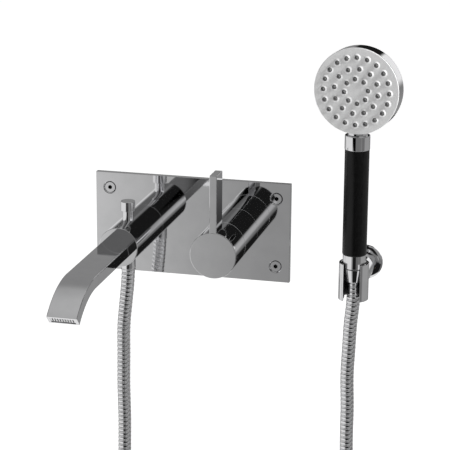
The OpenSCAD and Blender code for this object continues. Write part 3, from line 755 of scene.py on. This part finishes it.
def make_spring():
    """Coil spring over the diverter's valve. The real spring gives way as the knob is pulled up;
    here it is a fixed coil on the wall set, with a mesh of its own.
    """
    axis, low, high = upright("diverter_spring")
    wire, radius, turns, steps, sides = 0.8 * MM, 4.2 * MM, 6, 24, 8
    count = turns * steps
    rows = []
    bm = bmesh.new()
    for i in range(count + 1):
        turn = 2 * math.pi * i / steps
        z = low + wire / 2 + (high - low - wire) * i / count
        row = []
        for k in range(sides):
            around = 2 * math.pi * k / sides
            reach = radius + wire / 2 * math.cos(around)
            row.append(bm.verts.new(axis + Vector((reach * math.cos(turn), reach * math.sin(turn),
                                                   z + wire / 2 * math.sin(around)))))
        rows.append(row)
    skin(bm, rows)
    spring = finish_mesh("valve_spring", bm, WALL, STEEL, ("diverter_spring",), 60)
    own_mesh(spring)


def make_outlet():
    """Ferrule of the hose at the outlet, with a groove round it."""
    axis, low, high = upright("hose_ferrule_inlet")
    r, bore, groove, round_off = 7.4 * MM, 4 * MM, 7.0 * MM, 0.15 * MM
    outline = [(bore, high), (r, high), (r, low + 2.4 * MM, 0.2 * MM),
               (groove, low + 2 * MM, round_off), (groove, low + 1.4 * MM, round_off),
               (r, low + 1 * MM, round_off), (r, low, 0.3 * MM), (bore, low), (bore, high)]
    lathe("outlet_ferrule", outline, placed(axis, Z), WALL, CHROME,
          ("hose_ferrule_inlet",), 96)


make_spout()
make_spout_body()
make_diverter()
make_spring()
make_outlet()


# ---- Hand shower ----

HEAD_TURN = math.radians(6)
HEAD_RADIUS = 42.5 * MM
# The head's front and back along its own axis.
HEAD_FRONT = 10 * MM
HEAD_BACK = -12 * MM
# Rings of nozzles: count, radius in mm and angle of the first.
NOZZLE_RINGS = ((8, 12, 6.5), (12, 22, 22.5), (20, 33, 0))
NOZZLE_RADIUS = 2.2 * MM
NOZZLE_HOLE = 2.3 * MM


def make_hose_nut():
    """Conical nut of the hose, and the end fitting that turns in it."""
    axis, low, high = upright("hose_cone_nut")
    bore, seat = 7 * MM, 9.6 * MM
    outline = [(bore, low), (9 * MM, low, 0.4 * MM), (11.4 * MM, high, 0.3 * MM), (seat, high),
               (seat, low + 5 * MM), (bore, low + 5 * MM), (bore, low)]
    lathe("cone_nut", outline, placed(axis, Z), SHOWER, CHROME, ("hose_cone_nut",), 96)
    axis, low, high = upright("hose_ferrule_outlet")
    bore, r, flange, edge = 4.6 * MM, 6.72 * MM, 8.7 * MM, 0.2 * MM
    outline = [(bore, low), (r, low, edge), (r, high - 1.2 * MM), (flange, high - 1.2 * MM, edge),
               (flange, high, edge), (bore, high), (bore, low)]
    lathe("hose_fitting", outline, placed(axis, Z), HOSE_END, CHROME,
          ("hose_ferrule_outlet",), 64)


def make_grip():
    """Chromed neck above the nut, and the black grip."""
    axis, _, nut_high = upright("hose_cone_nut")
    low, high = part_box("grip")
    bore, seat, r = 4.5 * MM, 9 * MM, 11.5 * MM
    outline = [(bore, nut_high), (r - 0.5 * MM, nut_high + 0.5 * MM, 0.1 * MM),
               (r, nut_high + 0.9 * MM, 0.3 * MM), (r, low.z + 1.5 * MM), (seat, low.z + 2 * MM),
               (seat, low.z + 12 * MM), (bore, low.z + 12 * MM), (bore, nut_high)]
    lathe("shower_neck", outline, placed(axis, Z), SHOWER, CHROME, ("grip_neck",), 96)
    r = (high.x - low.x) / 2
    outline = [(seat, low.z), (r, low.z, 2.4 * MM), (r, high.z, 0.35 * MM), (seat, high.z),
               (seat, low.z)]
    lathe("shower_grip", outline, placed(axis, Z), SHOWER, GRIP, ("grip",), 128)


def head_place():
    """Place of the spray head: local Z points out of its face, local X up."""
    low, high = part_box("head_shell")
    axis, _, _ = upright("grip")
    centre = Vector((axis.x, axis.y, (low.z + high.z) / 2))
    out = Vector((-math.sin(HEAD_TURN), -math.cos(HEAD_TURN), 0))
    return placed(centre, out, Z)


def nozzle_places():
    """Place of each nozzle, with its local Z out of the face."""
    places = []
    for count, radius, phase in NOZZLE_RINGS:
        for i in range(count):
            angle = math.radians(phase + 360 * i / count)
            spot = radius * MM * Vector((-math.sin(angle), math.cos(angle), 0))
            places.append(head_place() @ Matrix.Translation(spot))
    return places


def make_head():
    """Chromed shell of the head, and its satin face with a hole for each nozzle."""
    place, r, front, back = head_place(), HEAD_RADIUS, HEAD_FRONT, HEAD_BACK
    wall = 2.2 * MM
    outline = [(0, back), (r - 0.2 * MM, back, 4.5 * MM), (r, front - 1.4 * MM, 0.3 * MM),
               (r - 1.2 * MM, front - 1.5 * MM, 0.2 * MM), (r - 2.4 * MM, front - 2 * MM),
               (r - 2.4 * MM, back + wall), (0, back + wall)]
    lathe("head_back", outline, place, SHOWER, CHROME, ("head_shell",), 192)
    rim, underside = r - 0.1 * MM, front - 1.35 * MM
    outline = [(0, front), (rim, front, 0.5 * MM), (rim, underside, 0.2 * MM), (0, underside)]
    plate = blank("head_face", outline, place, 192)
    holes = merged(rod(NOZZLE_HOLE, 5 * MM, 15 * MM, spot, 24) for spot in nozzle_places())
    cut(plate, loose("holes", holes))
    dress(plate, SHOWER, SATIN, ("spray_face",), 25)


def make_nozzles():
    """Soft conical nozzles on one mat behind the face, each with its hole, and the low
    conical rims of the face round them."""
    front = HEAD_FRONT
    nub = filleted([(0.45 * MM, front - 1 * MM), (0.45 * MM, front + 2 * MM),
                    (1 * MM, front + 2 * MM, 0.3 * MM),
                    (NOZZLE_RADIUS, front - 0.1 * MM, 0.2 * MM),
                    (NOZZLE_RADIUS, front - 1.6 * MM)], 4)
    nubs = [lathe_mesh(nub, place, 28, True) for place in nozzle_places()]
    mat = rod(35 * MM, front - 1.4 * MM, front - 3.4 * MM, head_place(), 96)
    # The nozzles get the silicone that is darkened as painted shade.
    finish_mesh("nozzles", merged(nubs + [mat]), SHOWER, NUB_WITH_PAINTED_SHADE,
                ("nozzle_mat",), 35)
    outer = 3.9 * MM
    rim = [(NOZZLE_HOLE, front - 0.5 * MM), (NOZZLE_HOLE, front + 0.95 * MM),
           (2.45 * MM, front + 1 * MM), (outer, front - 0.1 * MM), (outer, front - 0.5 * MM)]
    rims = merged(lathe_mesh(rim, place, 24, True) for place in nozzle_places())
    finish_mesh("nozzle_rims", rims, SHOWER, SATIN, (), 25)


def make_collar():
    """Chromed collar on the grip, whose stem runs up to the round edge of the head."""
    axis, low, high = upright("head_collar")
    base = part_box("grip")[1].z
    r, stem, plug = 12.5 * MM, 9.6 * MM, 8.9 * MM
    shoulder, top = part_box("head_shell")[0].z - 2.4 * MM, high - 1 * MM
    outline = [(plug, low), (plug, base), (r, base, 0.3 * MM), (r, shoulder, 0.5 * MM),
               (stem, shoulder), (stem, top), (0, top)]
    collar = blank("collar", outline, placed(axis, Z), 128)
    inside = rod(HEAD_RADIUS - 0.2 * MM, -30 * MM, 30 * MM, head_place(), 192)
    cut(collar, loose("inside", inside))
    dress(collar, SHOWER, CHROME, ("head_collar",), 25)


make_hose_nut()
make_grip()
make_head()
make_nozzles()
make_collar()


# ---- Wall bracket ----

HOLDER_Y = -70 * MM
HOLDER_RADIUS = 15 * MM
HALF_SLOT = 8.25 * MM


def make_rose():
    """Domed wall rose round the arm."""
    axis = axis_of("bracket_rose")
    low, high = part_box("bracket_rose")
    r, bore, recess = (high.x - low.x) / 2, 12.05 * MM, 15.1 * MM
    dome = [(12.05, 0), (13.5, 0.15), (15, 0.5), (16.2, 0.95), (17.2, 1.5)]
    outline = [(u * MM, low.y + v * MM) for u, v in dome]
    outline += [(r, low.y + 2.2 * MM, 0.3 * MM), (r, high.y, 0.2 * MM), (recess, high.y),
                (recess, high.y - 3 * MM), (bore, high.y - 3 * MM), (bore, low.y)]
    lathe("wall_rose", outline, placed(axis, Y), WALL, CHROME, ("bracket_rose",), 128)


def make_arm(place):
    """Round arm that ends against the holder at the given place."""
    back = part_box("bracket_arm")[1].y
    r, bore, bore_end = 12 * MM, 7.1 * MM, -14 * MM
    outline = [(0, HOLDER_Y), (r, HOLDER_Y), (r, back, 0.2 * MM), (bore, back),
               (bore, bore_end), (0, bore_end)]
    arm = blank("bracket_arm_skin", outline, placed(axis_of("bracket_rose"), Y), 128)
    cut(arm, loose("around", rod(HOLDER_RADIUS, -60 * MM, 60 * MM, place, 128)))
    dress(arm, WALL, CHROME, ("bracket_arm",), 25)


def slotted_ring(outer, inner, steps=72):
    """Outline of a ring with a slot at its front, seen from above."""
    def run(radius):
        half = math.asin(HALF_SLOT / radius)
        start, end = math.radians(-90) + half, math.radians(270) - half
        return [(radius * math.cos(start + (end - start) * k / steps),
                 radius * math.sin(start + (end - start) * k / steps))
                for k in range(steps + 1)]
    return run(outer) + run(inner)[::-1]


def make_holder(place):
    """Slotted holder, and its dark lining with a cone that the nut sits in."""
    low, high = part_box("shower_holder")
    ring = slotted_ring(HOLDER_RADIUS, 12.5 * MM)
    holder = loose("slotted_holder", prism_mesh(ring, low.z, high.z, place))
    softened(holder, 0.45 * MM, 4)
    dress(holder, WALL, CHROME, ("shower_holder",), 10)
    low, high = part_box("holder_liner")
    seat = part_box("hose_cone_nut")[0].z
    bores = [(low.z, 9.35), (seat, 9.35), (seat + 0.1 * MM, 9.38), (high.z - 0.5 * MM, 11.6),
             (high.z, 11.9)]
    bm = bmesh.new()
    skin(bm, [[bm.verts.new(place @ Vector((u, v, z)))
               for u, v in slotted_ring(12.45 * MM, inner * MM)] for z, inner in bores])
    finish_mesh("holder_lining", bm, WALL, DARK_PLASTIC, ("holder_liner",), 30)


def make_bracket():
    place = placed(Vector((axis_of("bracket_rose").x, HOLDER_Y, 0)), Z)
    make_rose()
    make_arm(place)
    make_holder(place)


make_bracket()


# ---- Studio ----

# Panels of the studio, as (azimuth range, elevation range, level, softness) in degrees.
# Azimuth 0 is straight in front of the wall and grows to the right. Later panels cover
# earlier ones.
PANELS = [
    ((-200, 200), (50, 120), 0.36, 8),
    ((-200, 200), (64, 120), 0.44, 8),
    ((-200, -128), (-12, 50), 0.24, 8),
    ((135, 200), (-12, 50), 0.20, 8),
    ((-60, -8), (4, 52), 0.12, 6),
    ((-200, 200), (-120, -50), 0.8, 5),
    ((-118, -17.5), (-45, 1), 0.74, 6),
    ((76, 142), (-45, 10), 0.32, 7),
    ((82, 128), (14, 46), 0.03, 5),
    ((-5, 27), (-50, 44), 0.01, 4),
    ((-5, 50), (-50, -17), 0.01, 3),
    ((-8, 46), (-15, 1), 0.17, 2),
    ((50, 78), (-50, -4), 0.16, 6),
    ((17, 23), (-10, 0), 0.45, 3),
    ((148, 174), (-4, 22), 0.85, 4),
    ((171, 200), (7, 24), 0.01, 2),
    ((-200, -168), (7, 24), 0.01, 2),
    ((-200, -171), (-22, -9), 0.01, 2),
]
BASE_LEVEL = 0.27
FLOOR_Z = -0.62
FLOOR_REACH = 6
FLOOR_GLOW = 0.8
HEAD_CENTRE = Vector((0.18, -0.08, 0.17))


def fed(tree, kind, inputs):
    """A new node, each of whose inputs is a number or a node output."""
    node = tree.nodes.new(kind)
    for name, value in inputs.items():
        if isinstance(value, (int, float)):
            node.inputs[name].default_value = value
        else:
            tree.links.new(value, node.inputs[name])
    return node


def calculate(tree, operation, a, b=0.0):
    """One step of arithmetic on numbers or node outputs."""
    node = fed(tree, "ShaderNodeMath", {0: a, 1: b})
    node.operation = operation
    return node.outputs[0]


def ramp_at(tree, value, at, soft):
    """Rises smoothly from 0 to 1 about a value."""
    node = fed(tree, "ShaderNodeMapRange",
               {"Value": value, "From Min": at - soft, "From Max": at + soft})
    node.interpolation_type = "SMOOTHSTEP"
    return node.outputs["Result"]


def blended(tree, factor, a, b):
    """Mixes two levels, each a number or a node output."""
    node = fed(tree, "ShaderNodeMix", {0: factor, 2: a, 3: b})
    node.data_type = "FLOAT"
    return node.outputs[0]


def make_world():
    """Surroundings of grey, white and black panels. The camera itself sees plain white."""
    world = bpy.data.worlds.new("studio")
    bpy.context.scene.world = world
    world.use_nodes = True
    tree = world.node_tree
    where = tree.nodes.new("ShaderNodeTexCoord")
    split = tree.nodes.new("ShaderNodeSeparateXYZ")
    tree.links.new(where.outputs["Generated"], split.inputs[0])
    x, y, z = split.outputs
    azimuth = calculate(tree, "ARCTAN2", x, calculate(tree, "MULTIPLY", y, -1.0))
    azimuth = calculate(tree, "DEGREES", azimuth)
    elevation = calculate(tree, "DEGREES", calculate(tree, "ARCSINE", z))
    level = BASE_LEVEL
    for az, el, shade, soft in PANELS:
        across = calculate(tree, "SUBTRACT", ramp_at(tree, azimuth, az[0], soft),
                           ramp_at(tree, azimuth, az[1], soft))
        upward = calculate(tree, "SUBTRACT", ramp_at(tree, elevation, el[0], soft),
                           ramp_at(tree, elevation, el[1], soft))
        level = blended(tree, calculate(tree, "MULTIPLY", across, upward), level, shade)
    path = tree.nodes.new("ShaderNodeLightPath")
    level = blended(tree, path.outputs["Is Camera Ray"], level, 1.0)
    background = tree.nodes["Background"]
    background.inputs["Color"].default_value = (1, 1, 1, 1)
    tree.links.new(level, background.inputs["Strength"])


def make_floor():
    """Plain pale floor below the hose, lit evenly."""
    bm = bmesh.new()
    bmesh.ops.create_grid(bm, x_segments=1, y_segments=1, size=FLOOR_REACH)
    floor = as_object("floor", bm)
    floor.location = (0, 0, FLOOR_Z)
    material, tree, shader = new_material("pale_floor")
    colour = tint(tree, noise(tree, 3), grey(0.78), grey(0.82))
    tree.links.new(colour, shader.inputs["Base Color"])
    shader.inputs["Roughness"].default_value = 0.9
    shader.inputs["Emission Color"].default_value = (1, 1, 1, 1)
    shader.inputs["Emission Strength"].default_value = FLOOR_GLOW
    floor.data.materials.append(material)
    floor.visible_glossy = False


def black_card(name, low, high, y, soft):
    """A soft-edged card in front of the object, which shows only in reflections."""
    bm = bmesh.new()
    corners = ((low[0], low[1]), (high[0], low[1]), (high[0], high[1]), (low[0], high[1]))
    bm.faces.new([bm.verts.new((x, y, z)) for x, z in corners])
    card = as_object(name, bm)
    material, tree, shader = new_material(name)
    shader.inputs["Base Color"].default_value = (0, 0, 0, 1)
    shader.inputs["Roughness"].default_value = 1
    shader.inputs["Specular IOR Level"].default_value = 0
    where = tree.nodes.new("ShaderNodeTexCoord")
    split = tree.nodes.new("ShaderNodeSeparateXYZ")
    tree.links.new(where.outputs["Object"], split.inputs[0])
    mask = 1.0
    for axis, start, end in ((0, low[0], high[0]), (2, low[1], high[1])):
        for at, sign in ((start, 1.0), (end, -1.0)):
            along = calculate(tree, "MULTIPLY", split.outputs[axis], sign)
            edge = ramp_at(tree, along, at * sign + soft / 2, soft / 2)
            mask = calculate(tree, "MULTIPLY", edge, mask)
    tree.links.new(mask, shader.inputs["Alpha"])
    card.data.materials.append(material)
    card.visible_camera = False
    card.visible_shadow = False
    card.visible_diffuse = False


def soft_light(name, offset, size, power):
    """Square lamp that lights the matt spray face and doesn't show in the chrome."""
    data = bpy.data.lights.new(name, "AREA")
    data.shape = "SQUARE"
    data.size = size
    data.energy = power
    lamp = bpy.data.objects.new(name, data)
    bpy.context.scene.collection.objects.link(lamp)
    lamp.location = HEAD_CENTRE + Vector(offset)
    lamp.rotation_mode = "QUATERNION"
    lamp.rotation_quaternion = (-Vector(offset)).to_track_quat("-Z", "Y")
    lamp.visible_glossy = False
    lamp.visible_camera = False


def make_studio():
    make_world()
    make_floor()
    black_card("upper_card", (-0.16, -0.035), (0.16, 0.16), -0.55, 0.03)
    soft_light("key_light", (0.9, -0.2, 0.6), 0.25, 26)
    soft_light("fill_light", (-0.22, -0.14, 0.06), 0.12, 0.05)
    view = bpy.context.scene.view_settings
    view.view_transform = "Standard"
    view.look = "None"


make_studio()
